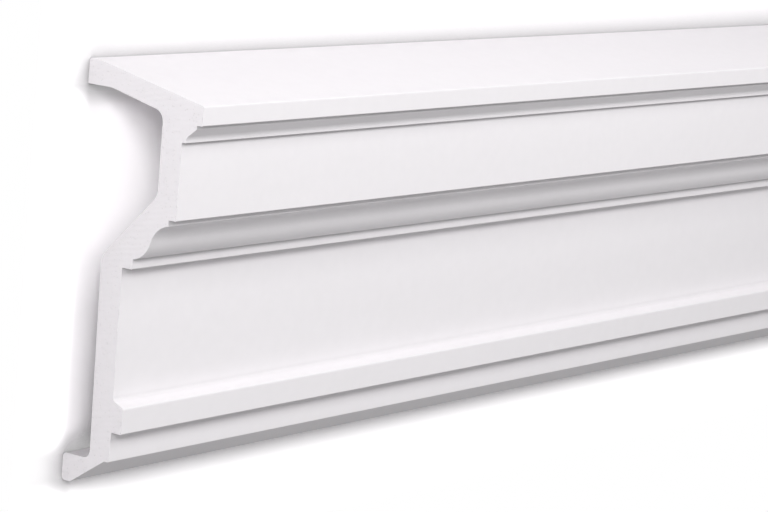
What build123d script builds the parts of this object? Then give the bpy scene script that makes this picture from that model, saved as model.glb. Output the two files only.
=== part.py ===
from build123d import *
from math import radians, tan
import os

# A length of facade cornice, moulded in one piece, lying on its back with its face up.
# X runs along the length, Y towards the cornice's top edge, Z out from the wall.
length = 2000.0
height = 250.0
projection = 86.5

# Faces of the section, measured out from the wall
crown_quirk_out = 82.5
cavetto_foot_out = 75.5
upper_frieze_out = 72.5
cyma_quirk_out = 67.0
cyma_middle_out = 54.8
cyma_foot_out = 43.7
fillet_out = 42.5
lower_frieze_out = 35.0
base_band_out = 43.0
foot_strip_top_out = 35.5
foot_strip_foot_out = 35.0
drip_out = 31.5
toe_out = 6.5

# Edges of the section, measured up from its lowest point
crown_soffit_up = 221.5
cavetto_top_up = 219.2
cavetto_bend_up = 213.6
upper_frieze_top_up = 210.5
upper_frieze_foot_up = 165.0
cyma_top_up = 161.5
cyma_middle_up = 150.0
cyma_foot_up = 138.7
fillet_foot_up = 132.5
bevel_top_up = 54.0
bevel_foot_up = 50.5
base_band_foot_up = 35.0
foot_strip_foot_up = 17.0
hook_up = 16.5

# Radii of the curved members
cavetto_radius = 4.0
cyma_radius = 16.0
bevel_cove_radius = 2.5

# Weathered top: a level strip at the wall, then a fall to the crown in degrees
level_top_out = 6.0
top_fall = 12.0
crown_top_up = height - (projection - level_top_out) * tan(radians(top_fall))

# Hollow back, which leaves a wall of about 15 mm behind the moulded face
nose_height = 15.0
nose_soffit_out = 18.0
flange_root_up = 225.7
upper_back_out = 57.5
shoulder_up = 177.5
waist_up = 137.0
lower_back_top_out = 18.8
lower_back_foot_out = 20.2

# Radii of the arrises, of the softer outer corners and of the back's hollows
arris = 0.6
inner_arris = 0.5
lip_arris = 0.2
crown_radius = 1.2
bevel_arris = 1.8
nose_radius = 2.0
top_blend_radius = 35.0
nose_soffit_radius = 30.0
flange_root_radius = 7.0
shoulder_radius = 9.0
waist_radius = 12.0
hook_root_radius = 4.5


def corner(out, up, radius=arris):
    """One corner of the section: its place on the sketch, and its radius."""
    return (up - height / 2, out), radius


def rounded_run(corners):
    """A run of straight faces with each corner between them rounded."""
    points = [place for place, radius in corners]
    radii = [radius for place, radius in corners[1:-1]]
    return FilletPolyline(*points, radius=radii)


# The lower half of the face, from the cyma's foot down to the toe
lower_face = [
    corner(cyma_foot_out, cyma_foot_up),
    corner(fillet_out, cyma_foot_up, inner_arris),
    corner(fillet_out, fillet_foot_up),
    corner(lower_frieze_out, fillet_foot_up, inner_arris),
    corner(lower_frieze_out, bevel_top_up, bevel_cove_radius),
    corner(base_band_out, bevel_foot_up, bevel_arris),
    corner(base_band_out, base_band_foot_up),
    corner(foot_strip_top_out, base_band_foot_up, inner_arris),
    corner(foot_strip_foot_out, foot_strip_foot_up),
    corner(drip_out, foot_strip_foot_up, inner_arris),
    corner(toe_out, 0, nose_radius),
]

# The wall side, round the hook and up the hollow back to the nose
hollow_back = [
    corner(0, 0, nose_radius),
    corner(0, hook_up, nose_radius),
    corner(lower_back_foot_out, hook_up, hook_root_radius),
    corner(lower_back_top_out, waist_up, waist_radius),
    corner(upper_back_out, shoulder_up, shoulder_radius),
    corner(upper_back_out, flange_root_up, flange_root_radius),
    corner(nose_soffit_out, height - nose_height, nose_soffit_radius),
    corner(0, height - nose_height),
]

# The upper half of the face, from the nose over the crown down to the cyma's top
upper_face = [
    corner(0, height, nose_radius),
    corner(level_top_out, height, top_blend_radius),
    corner(projection, crown_top_up, crown_radius),
    corner(projection, crown_soffit_up),
    corner(crown_quirk_out, crown_soffit_up, inner_arris),
    corner(crown_quirk_out, cavetto_top_up),
    corner(cavetto_foot_out, cavetto_bend_up, cavetto_radius),
    corner(cavetto_foot_out, upper_frieze_top_up, lip_arris),
    corner(upper_frieze_out, upper_frieze_top_up, inner_arris),
    corner(upper_frieze_out, upper_frieze_foot_up),
    corner(cyma_quirk_out, upper_frieze_foot_up, inner_arris),
    corner(cyma_quirk_out, cyma_top_up),
]

with BuildPart() as moulding:
    with BuildSketch(Plane.YZ.offset(-length / 2)):
        with BuildLine():
            outline = rounded_run(lower_face + hollow_back + upper_face)
            # The cyma is two like arcs, hollow above and full below
            cyma_middle = (cyma_middle_up - height / 2, cyma_middle_out)
            RadiusArc(outline @ 1, cyma_middle, cyma_radius)
            RadiusArc(cyma_middle, outline @ 0, -cyma_radius)
        make_face()
    extrude(amount=length)

moulding.part.label = "cornice_moulding"

os.makedirs("parts", exist_ok=True)
export_step(moulding.part, "parts/cornice_moulding.step")
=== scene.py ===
"""A length of primed facade cornice, lying on its back on a pale floor in soft studio light."""
import logging
from collections.abc import Iterable
from dataclasses import dataclass
from enum import Enum
from math import asin, ceil, cos, pi, radians, sin, sqrt, tan

import bpy
from bpy.types import NodeSocket as Socket
from mathutils import Matrix, Vector


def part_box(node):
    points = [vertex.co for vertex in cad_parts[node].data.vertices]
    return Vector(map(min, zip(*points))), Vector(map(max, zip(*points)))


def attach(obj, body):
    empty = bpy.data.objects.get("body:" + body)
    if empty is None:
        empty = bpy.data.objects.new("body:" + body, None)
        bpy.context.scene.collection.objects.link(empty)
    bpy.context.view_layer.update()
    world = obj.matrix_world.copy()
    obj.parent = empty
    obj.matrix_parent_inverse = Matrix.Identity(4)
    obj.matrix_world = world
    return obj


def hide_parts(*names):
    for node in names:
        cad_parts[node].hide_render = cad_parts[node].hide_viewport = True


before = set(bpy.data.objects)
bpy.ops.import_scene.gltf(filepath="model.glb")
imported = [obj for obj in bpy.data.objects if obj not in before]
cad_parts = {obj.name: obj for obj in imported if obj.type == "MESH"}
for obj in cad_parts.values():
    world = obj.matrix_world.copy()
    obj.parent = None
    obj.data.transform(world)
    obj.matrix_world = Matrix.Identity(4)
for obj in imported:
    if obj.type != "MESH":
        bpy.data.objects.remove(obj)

NODE = "cornice_moulding"
log = logging.getLogger("cornice")

# The plane that is merged to an outline's first point, and how near two points count as one
SEED_SIZE = 0.001
SAME_SPOT = 1e-5

# How finely an arc is divided
FACET_TURN = radians(6)
FEWEST_FACETS = 3

# The whole range of a level, and the part of it that noise mostly takes
WHOLE = (0.0, 1.0)
MIDDLE = (0.3, 0.7)

# How long a band of the Wave texture is at a scale of one
BAND_LENGTH = 2 * pi / 20


class Side(Enum):
    """The three kinds of surface on a length of cornice, as material slots."""

    FACE = 0
    BACK = 1
    SAWN_END = 2


class ShaderSheet:
    """A material's or world's node tree, with short ways to add and join nodes."""

    def __init__(self, tree: bpy.types.NodeTree) -> None:
        """Start from an empty tree.

        Args:
            tree: the node tree to fill.
        """
        self.tree = tree
        tree.nodes.clear()

    def add(self, kind: str, **inputs: object) -> bpy.types.Node:
        """Add a node and set its sockets or properties.

        Args:
            kind: the node's Blender type name, without its ShaderNode start.
            **inputs: values by socket name, with _ for a space, or by property name.

        Returns:
            The new node.
        """
        node = self.tree.nodes.new("ShaderNode" + kind)
        for name, value in inputs.items():
            socket = node.inputs.get(name.replace("_", " "))
            if socket is None:
                setattr(node, name, value)
            else:
                socket.default_value = value
        return node

    def join(self, source: Socket, target: Socket) -> None:
        """Link one socket to another."""
        self.tree.links.new(source, target)

    def ramp(self, value: Socket, *stops: float) -> Socket:
        """Add a straight ramp from one level to another, level beyond both ends.

        Args:
            value: what the ramp follows.
            *stops: the value where the ramp starts and ends, and the levels there.

        Returns:
            The level.
        """
        node = self.add("MapRange")
        for name, stop in zip(("From Min", "From Max", "To Min", "To Max"), stops):
            node.inputs[name].default_value = stop
        self.join(value, node.inputs["Value"])
        return node.outputs["Result"]

    def combine(self, operation: str, *levels: Socket) -> Socket:
        """Add nodes that work out one level from several.

        Args:
            operation: the Math node's operation.
            *levels: the levels.

        Returns:
            The outcome.
        """
        outcome = levels[0]
        for level in levels[1:]:
            step = self.add("Math", operation=operation)
            self.join(outcome, step.inputs[0])
            self.join(level, step.inputs[1])
            outcome = step.outputs[0]
        return outcome


@dataclass(frozen=True)
class Coat:
    """One of the cornice's white surfaces, with a fine grain, faint clouds, soft waves and painted shade in
    its inner corners.

    Attributes:
        name: the material's name.
        light: the surface's colour where it is cleanest.
        dim: its colour where it is greyest.
        patch: how wide the soft patches of tone are, in metres.
        grain: how wide the grain's bumps are, in metres.
        relief: how high the grain stands, in metres.
        wave: how wide the soft waves are, in metres.
        wave_relief: how high the soft waves stand, in metres.
        roughness: how matt the surface is at its glossiest and at its mattest.
        patch_stretch: how many times longer the patches of tone are along the cornice.
        wave_stretch: how many times longer the waves are along the cornice.
        cloud: how wide a cloud is, in bumps of the grain.
        cloud_tone: how much of the colour is left in a dark and in a light cloud.
        crease_shade_reach: how far from an inner corner the painted shade starts, in metres.
        crease_shade_room: the open share of the room in the sharpest corner, and where the painted shade
            ends.
        crease_shade_tone: how much of the colour the painted shade leaves in the sharpest corner.
    """

    name: str
    light: tuple[float, float, float]
    dim: tuple[float, float, float]
    patch: float
    grain: float
    relief: float
    wave: float
    wave_relief: float
    roughness: tuple[float, float]
    patch_stretch: float = 3.0
    wave_stretch: float = 4.0
    cloud: float = 5.0
    cloud_tone: tuple[float, float] = (0.99, 1.005)
    crease_shade_reach: float = 0.0035
    crease_shade_room: tuple[float, float] = (0.4, 0.95)
    crease_shade_tone: float = 0.57

    def material(self) -> bpy.types.Material:
        """Make the surface's material.

        Returns:
            A new material on Object coordinates.
        """
        material = bpy.data.materials.new(self.name)
        material.use_nodes = True
        sheet = ShaderSheet(material.node_tree)
        shader = sheet.add("BsdfPrincipled")
        output = sheet.add("OutputMaterial")
        bump = sheet.add("Bump", Strength=1.0, Distance=1.0)
        sheet.join(shader.outputs["BSDF"], output.inputs["Surface"])
        sheet.join(self.colour(sheet), shader.inputs["Base Color"])
        sheet.join(self.gloss(sheet), shader.inputs["Roughness"])
        sheet.join(self.height(sheet), bump.inputs["Height"])
        sheet.join(bump.outputs["Normal"], shader.inputs["Normal"])
        return material

    def noise(self, sheet: ShaderSheet, width: float, stretch: float = 1.0, detail: float = 2.0) -> Socket:
        """Add soft random patches.

        Args:
            sheet: the material's nodes.
            width: how wide the patches are, in metres.
            stretch: how many times longer they are along the cornice.
            detail: how many finer layers they have.

        Returns:
            A level from zero to one, mostly near the middle.
        """
        place = sheet.add("TexCoord")
        turned = sheet.add("Mapping", Scale=(1 / stretch, 1.0, 1.0))
        patches = sheet.add("TexNoise", Scale=1 / width, Detail=detail, Roughness=0.55)
        sheet.join(place.outputs["Object"], turned.inputs["Vector"])
        sheet.join(turned.outputs["Vector"], patches.inputs["Vector"])
        return patches.outputs["Fac"]

    def colour(self, sheet: ShaderSheet) -> Socket:
        """Blend the two tones in wide soft patches along the length, and scale them by the faint marks and
        by painted shade.

        Args:
            sheet: the material's nodes.

        Returns:
            The colour.
        """
        tone = sheet.add("Mix", data_type="RGBA")
        tone.inputs["A"].default_value = (*self.dim, 1.0)
        tone.inputs["B"].default_value = (*self.light, 1.0)
        patches = self.noise(sheet, self.patch, stretch=self.patch_stretch, detail=3.0)
        sheet.join(patches, tone.inputs["Factor"])
        # Painted shade in the inner corners, on the primer's toe and in the foam's pits scales the colour,
        # with the faint clouds
        left = sheet.combine("MULTIPLY", self.painted_crease_shade(sheet), self.marks_and_shade(sheet))
        marked = sheet.add("VectorMath", operation="SCALE")
        sheet.join(tone.outputs["Result"], marked.inputs[0])
        sheet.join(left, marked.inputs["Scale"])
        return marked.outputs["Vector"]

    def painted_crease_shade(self, sheet: ShaderSheet) -> Socket:
        """Paint shade into the sharp inner corners.

        Args:
            sheet: the material's nodes.

        Returns:
            The share of the colour that is left, one away from the corners.
        """
        # Painted shade: the colour darkens towards sharp inner corners, by ambient occlusion
        room = sheet.add("AmbientOcclusion", samples=8, only_local=True, Distance=self.crease_shade_reach)
        return sheet.ramp(room.outputs["AO"], *self.crease_shade_room, self.crease_shade_tone, 1.0)

    def marks_and_shade(self, sheet: ShaderSheet) -> Socket:
        """Add the faint clouds.

        Args:
            sheet: the material's nodes.

        Returns:
            The share of the colour that is left, about one.
        """
        return sheet.ramp(self.noise(sheet, self.grain * self.cloud), *MIDDLE, *self.cloud_tone)

    def gloss(self, sheet: ShaderSheet) -> Socket:
        """Vary how matt the surface is.

        Args:
            sheet: the material's nodes.

        Returns:
            The roughness.
        """
        return sheet.ramp(self.noise(sheet, self.wave, stretch=self.wave_stretch), *MIDDLE, *self.roughness)

    def height(self, sheet: ShaderSheet) -> Socket:
        """Add the fine grain and the long soft waves.

        Args:
            sheet: the material's nodes.

        Returns:
            The relief's height, in metres.
        """
        grain = sheet.ramp(self.noise(sheet, self.grain), *WHOLE, 0.0, self.relief)
        waves = self.noise(sheet, self.wave, stretch=self.wave_stretch)
        return sheet.combine("ADD", grain, sheet.ramp(waves, *WHOLE, 0.0, self.wave_relief))


@dataclass(frozen=True)
class FacePrimer(Coat):
    """The moulded face's sprayed primer, with painted shade on the undercut toe.

    Attributes:
        toe_edge: where the toe starts on the Y axis, in metres.
        toe_shade_tone: how much of the colour the painted shade leaves on the toe.
        toe_shade_fade: over what distance the painted shade fades in, in metres.
    """

    toe_edge: float = 0.0
    toe_shade_tone: float = 0.88
    toe_shade_fade: float = 0.0005

    def marks_and_shade(self, sheet: ShaderSheet) -> Socket:
        """Add the faint clouds, and paint shade on the toe.

        Args:
            sheet: the material's nodes.

        Returns:
            The share of the colour that is left.
        """
        place = sheet.add("TexCoord")
        axes = sheet.add("SeparateXYZ")
        sheet.join(place.outputs["Object"], axes.inputs["Vector"])
        # Painted shade: the colour is darker on the toe, below toe_edge
        shade_start = self.toe_edge - self.toe_shade_fade
        toe = sheet.ramp(axes.outputs["Y"], shade_start, self.toe_edge, self.toe_shade_tone, 1.0)
        return sheet.combine("MULTIPLY", super().marks_and_shade(sheet), toe)


@dataclass(frozen=True)
class PittedFoam(Coat):
    """Bare or thinly coated foam, with small pits from its bubbles and painted shade in them.

    Attributes:
        pit_spacing: how far apart the places for pits lie, in metres.
        pit_reach: how far a pit reaches from its middle, as a share of the spacing.
        pit_bottom: how much of that reach is the pit's bottom.
        pit_share: the share of places that have a full pit.
        faint_share: the share of places that have a fainter one.
        pit_depth: how deep a full pit is, in metres.
        pit_shade_tone: how much of the colour the painted shade leaves in a full pit.
    """

    pit_spacing: float = 0.0016
    pit_reach: float = 0.24
    pit_bottom: float = 0.5
    pit_share: float = 0.45
    faint_share: float = 0.2
    pit_depth: float = 0.0002
    pit_shade_tone: float = 0.87

    def pits(self, sheet: ShaderSheet) -> Socket:
        """Scatter the pits.

        Args:
            sheet: the material's nodes.

        Returns:
            A level that is zero in the pits and one between them.
        """
        place = sheet.add("TexCoord")
        cells = sheet.add("TexVoronoi", Scale=1 / self.pit_spacing)
        lot = sheet.add("SeparateXYZ")
        sheet.join(place.outputs["Object"], cells.inputs["Vector"])
        sheet.join(cells.outputs["Color"], lot.inputs["Vector"])
        bottom = self.pit_reach * self.pit_bottom
        wall = sheet.ramp(cells.outputs["Distance"], bottom, self.pit_reach, *WHOLE)
        closed = sheet.ramp(lot.outputs["X"], self.pit_share, self.pit_share + self.faint_share, *WHOLE)
        return sheet.combine("MAXIMUM", wall, closed)

    def marks_and_shade(self, sheet: ShaderSheet) -> Socket:
        """Add the faint clouds, and paint shade in the pits.

        Args:
            sheet: the material's nodes.

        Returns:
            The share of the colour that is left.
        """
        # Painted shade: the colour is darker in the pits
        pits = sheet.ramp(self.pits(sheet), *WHOLE, self.pit_shade_tone, 1.0)
        return sheet.combine("MULTIPLY", super().marks_and_shade(sheet), pits)

    def height(self, sheet: ShaderSheet) -> Socket:
        """Sink the pits into the relief.

        Args:
            sheet: the material's nodes.

        Returns:
            The relief's height, in metres.
        """
        pits = sheet.ramp(self.pits(sheet), *WHOLE, 0.0, self.pit_depth)
        return sheet.combine("ADD", super().height(sheet), pits)


@dataclass(frozen=True)
class SawnFoam(PittedFoam):
    """The sawn end, with the saw's faint lines across it.

    Attributes:
        line_spacing: how far apart the saw's lines lie, in metres.
        line_slant: how far they lean.
        line_relief: how deep they are, in metres.
    """

    line_spacing: float = 0.0032
    line_slant: float = radians(12)
    line_relief: float = 0.00005

    def height(self, sheet: ShaderSheet) -> Socket:
        """Draw the saw's lines over the pitted relief.

        Args:
            sheet: the material's nodes.

        Returns:
            The relief's height, in metres.
        """
        place = sheet.add("TexCoord")
        turned = sheet.add("Mapping", Rotation=(self.line_slant, 0.0, 0.0))
        scale = BAND_LENGTH / self.line_spacing
        lines = sheet.add("TexWave", bands_direction="Y", Scale=scale, Distortion=2.5, Detail=2.0)
        sheet.join(place.outputs["Object"], turned.inputs["Vector"])
        sheet.join(turned.outputs["Vector"], lines.inputs["Vector"])
        cuts = sheet.ramp(lines.outputs["Fac"], *WHOLE, 0.0, self.line_relief)
        return sheet.combine("ADD", super().height(sheet), cuts)


@dataclass(frozen=True)
class Corner:
    """One corner of the section.

    Attributes:
        out: its distance out from the wall, in metres.
        up: its height over the section's lowest point, in metres.
        radius: how far its arris is rounded, in metres.
    """

    out: float
    up: float
    radius: float = 0.0006


@dataclass(frozen=True)
class Bow:
    """An arc to a corner of the section.

    Attributes:
        out: the arc's end, out from the wall, in metres.
        up: the arc's end, over the section's lowest point, in metres.
        radius: the arc's radius, positive where it bows to the left of the way it is drawn.
    """

    out: float
    up: float
    radius: float


Stroke = Corner | Bow


class SectionPen:
    """Draws a section's outline in edit mode, by extruding and spinning one point."""

    def __init__(self, end_x: float, half_height: float) -> None:
        """Set the plane to draw on.

        Args:
            end_x: where the section's plane cuts the X axis.
            half_height: how far the section's lowest point lies below the X axis.
        """
        self.end_x = end_x
        self.half_height = half_height
        self.here = Vector((0.0, 0.0))

    def spot(self, stroke: Stroke) -> Vector:
        """Return a stroke's end on the drawing plane, as up and out."""
        return Vector((stroke.up - self.half_height, stroke.out))

    def begin(self, spot: Vector) -> None:
        """Put down the first point.

        Args:
            spot: the point on the drawing plane.
        """
        bpy.ops.object.select_all(action="DESELECT")
        bpy.ops.mesh.primitive_plane_add(size=SEED_SIZE, location=(self.end_x, spot.x, spot.y))
        bpy.ops.object.transform_apply(location=True, rotation=True, scale=True)
        bpy.ops.object.mode_set(mode="EDIT")
        bpy.ops.mesh.select_all(action="SELECT")
        bpy.ops.mesh.merge(type="CENTER")
        self.here = spot

    def line_to(self, spot: Vector) -> None:
        """Draw a straight face to a point.

        Args:
            spot: the face's end on the drawing plane.
        """
        step = spot - self.here
        bpy.ops.mesh.extrude_vertices_move(TRANSFORM_OT_translate={"value": (0.0, step.x, step.y)})
        self.here = spot

    def arc_to(self, spot: Vector, centre: Vector, turn: float) -> None:
        """Draw an arc to a point.

        Args:
            spot: the arc's end on the drawing plane.
            centre: the arc's centre on the drawing plane.
            turn: the arc's angle, positive from +Y towards +Z. Spin counts the other way.
        """
        steps = max(FEWEST_FACETS, ceil(abs(turn) / FACET_TURN))
        middle = (self.end_x, centre.x, centre.y)
        bpy.ops.mesh.spin(steps=steps, angle=-turn, center=middle, axis=(1.0, 0.0, 0.0))
        self.here = spot

    def round_corner(self, corner: Corner, after: Stroke) -> None:
        """Draw a straight face up to a corner, and the arc that rounds it.

        Args:
            corner: the corner.
            after: the next stroke, which the arc turns towards.
        """
        spot = self.spot(corner)
        way_in = (spot - self.here).normalized()
        way_out = (self.spot(after) - spot).normalized()
        turn = -way_in.angle_signed(way_out)
        cut = corner.radius * tan(abs(turn) / 2)
        side = 1.0 if turn > 0 else -1.0
        normal = Vector((-way_in.y, way_in.x)) * side
        self.line_to(spot - way_in * cut)
        self.arc_to(spot + way_out * cut, self.here + normal * corner.radius, turn)

    def bow_to(self, bow: Bow) -> None:
        """Draw an arc that bows from its chord.

        Args:
            bow: the arc's end and its radius.
        """
        spot = self.spot(bow)
        chord = spot - self.here
        half = chord.length / 2
        left = Vector((-chord.y, chord.x)).normalized()
        side = 1.0 if bow.radius > 0 else -1.0
        centre = (self.here + spot) / 2 - left * side * sqrt(bow.radius ** 2 - half ** 2)
        self.arc_to(spot, centre, -2 * asin(half / bow.radius))

    def draw(self, strokes: list[Stroke]) -> None:
        """Draw an open outline.

        Args:
            strokes: the outline's corners and bows, from one end to the other.
        """
        self.begin(self.spot(strokes[0]))
        for stroke, after in zip(strokes[1:], strokes[2:] + [strokes[-1]]):
            if isinstance(stroke, Bow):
                self.bow_to(stroke)
            elif isinstance(after, Bow) or after is stroke or not stroke.radius:
                self.line_to(self.spot(stroke))
            else:
                self.round_corner(stroke, after)


@dataclass
class CorniceSection:
    """The cornice's cross-section, out from the wall and up from its lowest point, in metres.

    Each field is named for its member of the moulding: _out is measured from the wall, _up from the
    lowest point, and _radius and _arris round a corner.

    Attributes:
        height: the section's whole height.
        projection: how far the crown stands out from the wall.
        top_fall: how steeply the weathered top falls towards the crown.
        nose_seam_drop: how far below the top edge the face's coat ends on the upper wall face.
        toe_seam_share: how far from the wall it ends under the hook, as a share of toe_out.
    """

    height: float
    projection: float
    crown_quirk_out: float = 0.0825
    cavetto_foot_out: float = 0.0755
    upper_frieze_out: float = 0.0725
    cyma_quirk_out: float = 0.067
    cyma_middle_out: float = 0.0548
    cyma_foot_out: float = 0.0437
    fillet_out: float = 0.0425
    lower_frieze_out: float = 0.035
    base_band_out: float = 0.043
    foot_strip_top_out: float = 0.0355
    foot_strip_foot_out: float = 0.035
    drip_out: float = 0.0315
    toe_out: float = 0.0065
    crown_soffit_up: float = 0.2215
    cavetto_top_up: float = 0.2192
    cavetto_bend_up: float = 0.2136
    upper_frieze_top_up: float = 0.2105
    upper_frieze_foot_up: float = 0.165
    cyma_top_up: float = 0.1615
    cyma_middle_up: float = 0.150
    cyma_foot_up: float = 0.1387
    fillet_foot_up: float = 0.1325
    bevel_top_up: float = 0.054
    bevel_foot_up: float = 0.0505
    base_band_foot_up: float = 0.035
    foot_strip_foot_up: float = 0.017
    hook_up: float = 0.0165
    cavetto_radius: float = 0.004
    cyma_radius: float = 0.016
    level_top_out: float = 0.006
    top_fall: float = radians(12)
    nose_height: float = 0.015
    nose_soffit_out: float = 0.018
    flange_root_up: float = 0.2257
    upper_back_out: float = 0.0575
    shoulder_up: float = 0.1775
    waist_up: float = 0.137
    lower_back_top_out: float = 0.0188
    lower_back_foot_out: float = 0.0202
    inner_arris: float = 0.0005
    lip_arris: float = 0.0002
    crown_radius: float = 0.0012
    nose_radius: float = 0.002
    top_blend_radius: float = 0.035
    nose_soffit_radius: float = 0.030
    flange_root_radius: float = 0.007
    shoulder_radius: float = 0.009
    waist_radius: float = 0.012
    hook_root_radius: float = 0.0045
    bevel_cove_radius: float = 0.0025
    bevel_arris: float = 0.0018
    nose_seam_drop: float = 0.005
    toe_seam_share: float = 0.55

    def nose_seam(self) -> Corner:
        """Return where the coated face meets the back, on the upper wall face."""
        return Corner(0.0, self.height - self.nose_seam_drop)

    def toe_seam(self) -> Corner:
        """Return where the coated face meets the back, under the hook."""
        return Corner(self.toe_out * self.toe_seam_share, 0.0)

    def face(self) -> list[Stroke]:
        """Return the face's outline, from the nose over the crown down to the toe."""
        fall = (self.projection - self.level_top_out) * tan(self.top_fall)
        return [
            self.nose_seam(),
            Corner(0.0, self.height, self.nose_radius),
            Corner(self.level_top_out, self.height, self.top_blend_radius),
            Corner(self.projection, self.height - fall, self.crown_radius),
            Corner(self.projection, self.crown_soffit_up),
            Corner(self.crown_quirk_out, self.crown_soffit_up, self.inner_arris),
            Corner(self.crown_quirk_out, self.cavetto_top_up),
            Corner(self.cavetto_foot_out, self.cavetto_bend_up, self.cavetto_radius),
            Corner(self.cavetto_foot_out, self.upper_frieze_top_up, self.lip_arris),
            Corner(self.upper_frieze_out, self.upper_frieze_top_up, self.inner_arris),
            Corner(self.upper_frieze_out, self.upper_frieze_foot_up),
            Corner(self.cyma_quirk_out, self.upper_frieze_foot_up, self.inner_arris),
            Corner(self.cyma_quirk_out, self.cyma_top_up),
            Bow(self.cyma_middle_out, self.cyma_middle_up, self.cyma_radius),
            Bow(self.cyma_foot_out, self.cyma_foot_up, -self.cyma_radius),
            Corner(self.fillet_out, self.cyma_foot_up, self.inner_arris),
            Corner(self.fillet_out, self.fillet_foot_up),
            Corner(self.lower_frieze_out, self.fillet_foot_up, self.inner_arris),
            Corner(self.lower_frieze_out, self.bevel_top_up, self.bevel_cove_radius),
            Corner(self.base_band_out, self.bevel_foot_up, self.bevel_arris),
            Corner(self.base_band_out, self.base_band_foot_up),
            Corner(self.foot_strip_top_out, self.base_band_foot_up, self.inner_arris),
            Corner(self.foot_strip_foot_out, self.foot_strip_foot_up),
            Corner(self.drip_out, self.foot_strip_foot_up, self.inner_arris),
            Corner(self.toe_out, 0.0, self.nose_radius),
            self.toe_seam(),
        ]

    def back(self) -> list[Stroke]:
        """Return the wall side's outline, from the toe round the hook up to the nose."""
        return [
            self.toe_seam(),
            Corner(0.0, 0.0, self.nose_radius),
            Corner(0.0, self.hook_up, self.nose_radius),
            Corner(self.lower_back_foot_out, self.hook_up, self.hook_root_radius),
            Corner(self.lower_back_top_out, self.waist_up, self.waist_radius),
            Corner(self.upper_back_out, self.shoulder_up, self.shoulder_radius),
            Corner(self.upper_back_out, self.flange_root_up, self.flange_root_radius),
            Corner(self.nose_soffit_out, self.height - self.nose_height, self.nose_soffit_radius),
            Corner(0.0, self.height - self.nose_height),
            self.nose_seam(),
        ]


@dataclass
class CorniceLength:
    """One length of cornice: its section drawn out along X, with sawn ends.

    Attributes:
        start_x: where the near end is.
        end_x: where the far end is.
        section: the cross-section.
        coats: the finish of each kind of surface.
        soft_turn: the sharpest turn between two facets that is shaded smooth.
    """

    start_x: float
    end_x: float
    section: CorniceSection
    coats: dict[Side, Coat]
    soft_turn: float = radians(30)

    def strip(self, side: Side, strokes: list[Stroke]) -> bpy.types.Object:
        """Draw one side of the section and extrude it along the length.

        Args:
            side: the kind of surface.
            strokes: the side's outline.

        Returns:
            The strip, an open sheet.
        """
        pen = SectionPen(self.start_x, self.section.height / 2)
        pen.draw(strokes)
        bpy.ops.mesh.select_all(action="SELECT")
        along = (self.end_x - self.start_x, 0.0, 0.0)
        bpy.ops.mesh.extrude_region_move(TRANSFORM_OT_translate={"value": along})
        bpy.ops.object.mode_set(mode="OBJECT")
        piece = bpy.context.object
        for kind in Side:
            piece.data.materials.append(bpy.data.materials[self.coats[kind].name])
        for polygon in piece.data.polygons:
            polygon.material_index = side.value
        return piece

    def close_end(self, piece: bpy.types.Object, x: float) -> None:
        """Fill one end with a flat sawn face.

        Args:
            piece: the open length.
            x: where the end is.
        """
        bpy.ops.object.mode_set(mode="EDIT")
        bpy.ops.mesh.select_all(action="DESELECT")
        bpy.ops.object.mode_set(mode="OBJECT")
        for edge in piece.data.edges:
            ends = [piece.data.vertices[i].co.x for i in edge.vertices]
            edge.select = max(abs(end - x) for end in ends) < SAME_SPOT
        bpy.ops.object.mode_set(mode="EDIT")
        bpy.context.tool_settings.mesh_select_mode = (False, True, False)
        bpy.ops.mesh.edge_face_add()
        piece.active_material_index = Side.SAWN_END.value
        bpy.ops.object.material_slot_assign()
        bpy.ops.object.mode_set(mode="OBJECT")

    def build(self) -> bpy.types.Object:
        """Model the length.

        Returns:
            The closed length, with its object at the origin.
        """
        for kind in Side:
            self.coats[kind].material()
        back = self.strip(Side.BACK, self.section.back())
        face = self.strip(Side.FACE, self.section.face())
        back.select_set(True)
        bpy.ops.object.join()
        bpy.ops.object.mode_set(mode="EDIT")
        bpy.ops.mesh.select_all(action="SELECT")
        bpy.ops.mesh.remove_doubles(threshold=SAME_SPOT)
        bpy.ops.object.mode_set(mode="OBJECT")
        self.close_end(face, self.start_x)
        self.close_end(face, self.end_x)
        bpy.ops.object.mode_set(mode="EDIT")
        bpy.ops.mesh.select_all(action="SELECT")
        bpy.ops.mesh.normals_make_consistent(inside=False)
        bpy.ops.object.mode_set(mode="OBJECT")
        face.name = "cornice_length"
        self.smooth(face)
        return face

    def smooth(self, piece: bpy.types.Object) -> None:
        """Shade the arcs smooth and keep the flat faces flat.

        Args:
            piece: the closed length.
        """
        bpy.ops.object.shade_smooth_by_angle(angle=self.soft_turn)
        weights = piece.modifiers.new("flat_faces", "WEIGHTED_NORMAL")
        weights.keep_sharp = True
        weights.weight = 100
        bpy.ops.object.modifier_apply(modifier=weights.name)


@dataclass(frozen=True)
class SoftLight:
    """One soft studio panel, aimed at a spot along the cornice.

    Attributes:
        name: the panel's name.
        along: where on the X axis it aims, in metres.
        bearing: its direction round that spot, in degrees from +X towards +Y.
        elevation: how high it stands, in degrees over the floor.
        distance: how far away it is, in metres.
        size: its width and height, in metres.
        power: its power, in watts.
    """

    name: str
    along: float
    bearing: float
    elevation: float
    distance: float
    size: tuple[float, float]
    power: float

    def build(self, height: float) -> bpy.types.Object:
        """Put up the panel.

        Args:
            height: how high over the floor it aims, in metres.

        Returns:
            The panel's lamp.
        """
        lamp = bpy.data.lights.new(self.name, "AREA")
        lamp.shape = "RECTANGLE"
        lamp.size, lamp.size_y = self.size
        lamp.energy = self.power
        stand = bpy.data.objects.new(self.name, lamp)
        bpy.context.scene.collection.objects.link(stand)
        bearing, elevation = radians(self.bearing), radians(self.elevation)
        aim = Vector((cos(bearing) * cos(elevation), sin(bearing) * cos(elevation), sin(elevation)))
        place = Vector((self.along, 0.0, height)) + aim * self.distance
        stand.matrix_world = Matrix.Translation(place) @ aim.to_track_quat("Z", "Y").to_matrix().to_4x4()
        return stand


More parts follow.
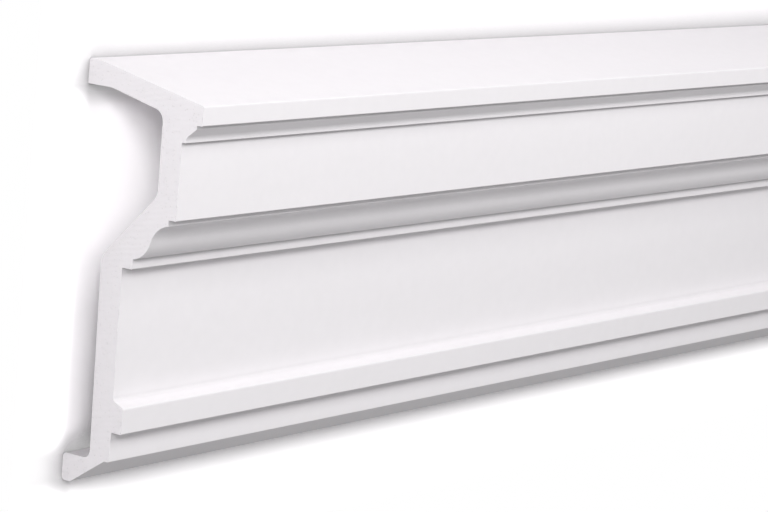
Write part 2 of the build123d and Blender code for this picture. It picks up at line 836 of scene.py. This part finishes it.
@dataclass(frozen=True)
class Shade:
    """Painted shade on the floor: how its level changes where the object stands or hangs close to it.

    Attributes:
        reach: how near the object counts, in metres.
        tight: the open share of the room where the change is full.
        free: the open share where it ends.
        full: the level where the change is full.
        none: the level where it ends.
    """

    reach: float
    tight: float
    free: float
    full: float
    none: float

    def level(self, sheet: ShaderSheet) -> Socket:
        """Add nodes for the level.

        Args:
            sheet: the floor material's nodes.

        Returns:
            The level.
        """
        room = sheet.add("AmbientOcclusion", samples=8, Distance=self.reach)
        return sheet.ramp(room.outputs["AO"], self.tight, self.free, self.full, self.none)


@dataclass
class Studio:
    """The pale floor, the lamps and the white surroundings.

    Attributes:
        half_length: how far the cornice's ends lie from the middle of the floor, in metres.
        half_height: how far its top edge and its toe lie from there, in metres.
        floor_width: how wide the floor is, in metres.
        ambient: how bright the surroundings light the object.
        floor_colour: the floor's paint, as it throws light back on the object.
        tint: the tint of the shadows that the camera sees on the floor.
        shown_inside: how bright the camera sees the floor's paint in the hollow.
        shown_beside: how bright it sees the paint beside the toe.
        shown_above: how bright it sees the paint beyond the top edge.
        shown_before: how bright it sees the paint before the nose and the hook.
        far_gain: how much brighter it sees the paint at the far end, which the lamps light less.
        wall: how thick the nose and the hook are where they lie on the floor, in metres.
        soft_edge: over what distance one of these levels gives way to another, in metres.
        nook_edge: over what distance the lighter nooks end under the nose and the hook, in metres.
        contact: the painted shade close to the object, as the share of the light that it leaves.
        low_hollow: the painted shade under the low part of the hollow, as the share of the light that it
            leaves.
        high_hollow: the painted shade under the high part of the hollow, as the share of the light that it
            leaves.
        nook: painted light in the hollow's darkest nooks, as a share of plain white.
        side_clear: where the floor beside the cornice turns plain white, and is so, in metres from it.
        end_clear: the same for the floor before the ends.
        aim_height: how high over the floor the lamps aim, in metres.
        lamps: the lamps.
    """

    half_length: float
    half_height: float
    floor_width: float = 60.0
    ambient: float = 0.1
    floor_colour: tuple[float, float, float] = (0.72, 0.70, 0.72)
    tint: tuple[float, float, float] = (1.0, 0.985, 0.997)
    shown_inside: float = 2.25
    shown_beside: float = 2.0
    shown_above: float = 1.12
    shown_before: float = 1.2
    far_gain: float = 2.8
    wall: float = 0.0165
    soft_edge: float = 0.012
    nook_edge: float = 0.001
    contact: Shade = Shade(reach=0.02, tight=0.0, free=1.0, full=0.0, none=1.0)
    low_hollow: Shade = Shade(reach=0.06, tight=0.05, free=0.42, full=0.25, none=1.0)
    high_hollow: Shade = Shade(reach=0.13, tight=0.08, free=0.12, full=0.55, none=1.0)
    nook: Shade = Shade(reach=0.02, tight=0.1, free=0.9, full=0.6, none=0.0)
    side_clear: tuple[float, float] = (0.03, 0.06)
    end_clear: tuple[float, float] = (0.012, 0.045)
    aim_height: float = 0.03
    lamps: tuple[SoftLight, ...] = (
        SoftLight("top_edge_strip", -0.30, 90, 56, 1.4, (1.0, 0.35), 9.45),
        SoftLight("key_lamp", -0.65, 103, 41, 1.6, (0.45, 0.45), 6.8),
        SoftLight("near_lamp", -0.65, 156, 26, 1.6, (0.45, 0.45), 7.9),
        SoftLight("foot_lamp", -0.65, 270, 55, 2.4, (0.75, 0.75), 9.6),
        SoftLight("end_lamp", -0.65, 180, 12, 3.2, (1.0, 1.0), 18.6),
    )

    def rays(self, sheet: ShaderSheet, *kinds: str) -> Socket:
        """Add nodes that pick out some kinds of ray.

        Args:
            sheet: the nodes to add to.
            *kinds: the Light Path outputs to pick out.

        Returns:
            A socket that is one for those rays and zero for the others.
        """
        path = sheet.add("LightPath")
        return sheet.combine("MAXIMUM", *(path.outputs[kind] for kind in kinds))

    def surroundings(self) -> None:
        """Light the object evenly from all round, and show white behind it."""
        world = bpy.data.worlds.new("studio")
        bpy.context.scene.world = world
        world.use_nodes = True
        sheet = ShaderSheet(world.node_tree)
        soft = sheet.add("Background", Strength=self.ambient)
        white = sheet.add("Background", Strength=1.0)
        choice = sheet.add("MixShader")
        output = sheet.add("OutputWorld")
        for background in (soft, white):
            background.inputs["Color"].default_value = (1.0, 1.0, 1.0, 1.0)
        shown = self.rays(sheet, "Is Camera Ray", "Is Glossy Ray", "Is Transmission Ray")
        sheet.join(shown, choice.inputs["Fac"])
        sheet.join(soft.outputs[0], choice.inputs[1])
        sheet.join(white.outputs[0], choice.inputs[2])
        sheet.join(choice.outputs[0], output.inputs["Surface"])

    def floor_place(self, sheet: ShaderSheet) -> tuple[Socket, Socket]:
        """Add nodes for a place on the floor.

        Args:
            sheet: the floor material's nodes.

        Returns:
            The place along the cornice and across it, from the floor's middle.
        """
        place = sheet.add("TexCoord")
        axes = sheet.add("SeparateXYZ")
        sheet.join(place.outputs["Object"], axes.inputs["Vector"])
        return axes.outputs["X"], axes.outputs["Y"]

    def size_of(self, sheet: ShaderSheet, value: Socket) -> Socket:
        """Add a node that drops a value's sign.

        Args:
            sheet: the nodes to add to.
            value: the value.

        Returns:
            Its size.
        """
        node = sheet.add("Math", operation="ABSOLUTE")
        sheet.join(value, node.inputs[0])
        return node.outputs[0]

    def shown_level(self, sheet: ShaderSheet) -> Socket:
        """Add nodes for how bright the camera sees the floor's paint in its several places, painted lighter
        or darker to shape the object's shadow there.

        Args:
            sheet: the floor material's nodes.

        Returns:
            The paint's level, without the shades.
        """
        along, up = self.floor_place(sheet)
        near, toe, edge = -self.half_length, -self.half_height, self.soft_edge
        rim = self.half_height - self.wall
        over = sheet.ramp(up, rim - edge, rim, self.shown_inside, self.shown_above)
        under = sheet.ramp(up, -rim, edge - rim, self.shown_beside, self.shown_inside)
        before = sheet.ramp(along, near, near + edge, self.shown_before, self.shown_inside)
        mouth = sheet.ramp(up, -rim, edge - rim, self.shown_before, self.shown_inside)
        foot = sheet.ramp(up, toe - edge, toe, self.shown_beside, self.shown_before)
        end = sheet.combine("MAXIMUM", before, mouth, foot)
        gain = sheet.ramp(along, 0.0, self.half_length, 1.0, self.far_gain)
        return sheet.combine("MULTIPLY", sheet.combine("MINIMUM", over, under, end), gain)

    def clear_floor(self, sheet: ShaderSheet) -> Socket:
        """Add nodes for plain white, in full away from the cornice and in part, as painted light, in the
        darkest nooks.

        Args:
            sheet: the floor material's nodes.

        Returns:
            The share of plain white.
        """
        along, up = self.floor_place(sheet)
        ends = [self.half_length + clear for clear in self.end_clear]
        sides = [self.half_height + clear for clear in self.side_clear]
        across = self.size_of(sheet, up)
        rim = self.half_height - self.wall
        before = sheet.ramp(self.size_of(sheet, along), *ends, 1.0, 0.0)
        beside = sheet.ramp(across, *sides, 1.0, 0.0)
        away = sheet.ramp(sheet.combine("MULTIPLY", before, beside), *WHOLE, 1.0, 0.0)
        inside = sheet.ramp(across, rim, rim + self.nook_edge, 1.0, 0.0)
        nook = sheet.combine("MULTIPLY", inside, self.nook.level(sheet))
        return sheet.combine("MAXIMUM", away, nook)

    def shown_colour(self, sheet: ShaderSheet) -> Socket:
        """Add nodes for the paint that the camera sees, white outside the object's shadow, with painted
        shade near the object.

        Args:
            sheet: the floor material's nodes.

        Returns:
            The paint's colour.
        """
        # Painted shade: the floor darkens close to the object and under the hollow, by ambient occlusion
        shades = [shade.level(sheet) for shade in (self.contact, self.low_hollow, self.high_hollow)]
        level = sheet.combine("MULTIPLY", self.shown_level(sheet), *shades)
        tinted = sheet.add("VectorMath", operation="SCALE")
        tinted.inputs[0].default_value = self.tint
        sheet.join(level, tinted.inputs["Scale"])
        return tinted.outputs["Vector"]

    def floor_material(self) -> bpy.types.Material:
        """Make the floor's pale paint, which the camera sees as white outside the shadow.

        Returns:
            The floor's material.
        """
        material = bpy.data.materials.new("pale_floor")
        material.use_nodes = True
        sheet = ShaderSheet(material.node_tree)
        paint = sheet.add("BsdfDiffuse", Color=(*self.floor_colour, 1.0))
        mirrored = sheet.add("BsdfDiffuse", Color=(1.0, 1.0, 1.0, 1.0))
        shadowed = sheet.add("BsdfDiffuse")
        white = sheet.add("Emission", Strength=1.0)
        shown = sheet.add("MixShader")
        unseen = sheet.add("MixShader")
        choice = sheet.add("MixShader")
        output = sheet.add("OutputMaterial")
        sheet.join(self.shown_colour(sheet), shadowed.inputs["Color"])
        sheet.join(self.clear_floor(sheet), shown.inputs["Fac"])
        sheet.join(shadowed.outputs[0], shown.inputs[1])
        sheet.join(white.outputs[0], shown.inputs[2])
        sheet.join(self.rays(sheet, "Is Glossy Ray", "Is Transmission Ray"), unseen.inputs["Fac"])
        sheet.join(paint.outputs[0], unseen.inputs[1])
        sheet.join(mirrored.outputs[0], unseen.inputs[2])
        sheet.join(self.rays(sheet, "Is Camera Ray"), choice.inputs["Fac"])
        sheet.join(unseen.outputs[0], choice.inputs[1])
        sheet.join(shown.outputs[0], choice.inputs[2])
        sheet.join(choice.outputs[0], output.inputs["Surface"])
        return material

    def floor(self) -> bpy.types.Object:
        """Lay the floor under the object.

        Returns:
            The floor.
        """
        bpy.ops.object.select_all(action="DESELECT")
        bpy.ops.mesh.primitive_plane_add(size=self.floor_width)
        floor = bpy.context.object
        floor.name = "studio_floor"
        floor.data.materials.append(self.floor_material())
        return floor

    def build(self) -> None:
        """Set up the studio."""
        self.surroundings()
        self.floor()
        for lamp in self.lamps:
            lamp.build(self.aim_height)


@dataclass(frozen=True)
class ProductCamera:
    """The camera, which looks down on the near end with the cornice's top edge up.

    Attributes:
        stand_off: its place from the near end's lower wall edge, in metres.
        aim: the way it looks.
        roll: how far it is turned from level with the cornice.
        lens: its focal length, in millimetres on a 36 mm sensor.
    """

    stand_off: tuple[float, float, float] = (-1.3956, 0.4456, 1.2079)
    aim: tuple[float, float, float] = (0.8054, -0.1596, -0.5709)
    roll: float = radians(4.75)
    lens: float = 150.0

    def build(self, near_corner: Vector) -> bpy.types.Object:
        """Put the camera in its place.

        Args:
            near_corner: the near end's lower wall edge.

        Returns:
            The camera.
        """
        data = bpy.data.cameras.new("product_camera")
        data.lens = self.lens
        data.sensor_width = 36.0
        camera = bpy.data.objects.new("product_camera", data)
        bpy.context.scene.collection.objects.link(camera)
        back = -Vector(self.aim).normalized()
        right = Vector((0.0, 1.0, 0.0)).cross(back).normalized()
        turned = Matrix((right, back.cross(right), back)).transposed()
        turned = turned @ Matrix.Rotation(self.roll, 3, "Z")
        camera.matrix_world = Matrix.Translation(near_corner + Vector(self.stand_off)) @ turned.to_4x4()
        bpy.context.scene.camera = camera
        return camera


def finishes(toe_edge: float) -> dict[Side, Coat]:
    """Mix the finish of each kind of surface.

    Args:
        toe_edge: where the undercut toe starts on the Y axis, in metres.

    Returns:
        The finishes, all in the same slightly warm white.
    """
    primer = FacePrimer(
        name="primer_coat",
        light=(0.877, 0.852, 0.874),
        dim=(0.855, 0.830, 0.852),
        patch=0.06,
        grain=0.0016,
        relief=0.00005,
        wave=0.03,
        wave_relief=0.00012,
        roughness=(0.50, 0.60),
        toe_edge=toe_edge,
    )
    skin = PittedFoam(
        name="back_skin",
        light=(0.862, 0.840, 0.859),
        dim=(0.830, 0.808, 0.827),
        patch=0.05,
        grain=0.0025,
        relief=0.00012,
        wave=0.025,
        wave_relief=0.0003,
        roughness=(0.60, 0.75),
        pit_spacing=0.009,
        pit_reach=0.10,
        pit_depth=0.0006,
        pit_shade_tone=0.72,
    )
    sawn = SawnFoam(
        name="sawn_foam",
        light=(0.874, 0.850, 0.871),
        dim=(0.848, 0.825, 0.845),
        patch=0.02,
        grain=0.0007,
        relief=0.00005,
        wave=0.012,
        wave_relief=0.00004,
        roughness=(0.70, 0.80),
    )
    return {Side.FACE: primer, Side.BACK: skin, Side.SAWN_END: sawn}


def dress(piece: bpy.types.Object) -> None:
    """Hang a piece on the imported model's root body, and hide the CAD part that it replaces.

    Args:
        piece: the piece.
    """
    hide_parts(NODE)
    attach(piece, "root")


def main() -> None:
    """Build the cornice, the studio and the camera, and log the piece's face count."""
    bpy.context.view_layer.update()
    low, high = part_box(NODE)
    section = CorniceSection(height=high.y - low.y, projection=high.z - low.z)
    length = CorniceLength(low.x, high.x, section, finishes(low.y + section.foot_strip_foot_up))
    piece = length.build()
    dress(piece)
    log.info("%s: %d faces", piece.name, len(piece.data.polygons))
    Studio(half_length=high.x, half_height=high.y).build()
    ProductCamera().build(low)
    bpy.context.scene.view_settings.view_transform = "Standard"


if __name__ == "__main__":
    logging.basicConfig(level=logging.INFO)
    main()
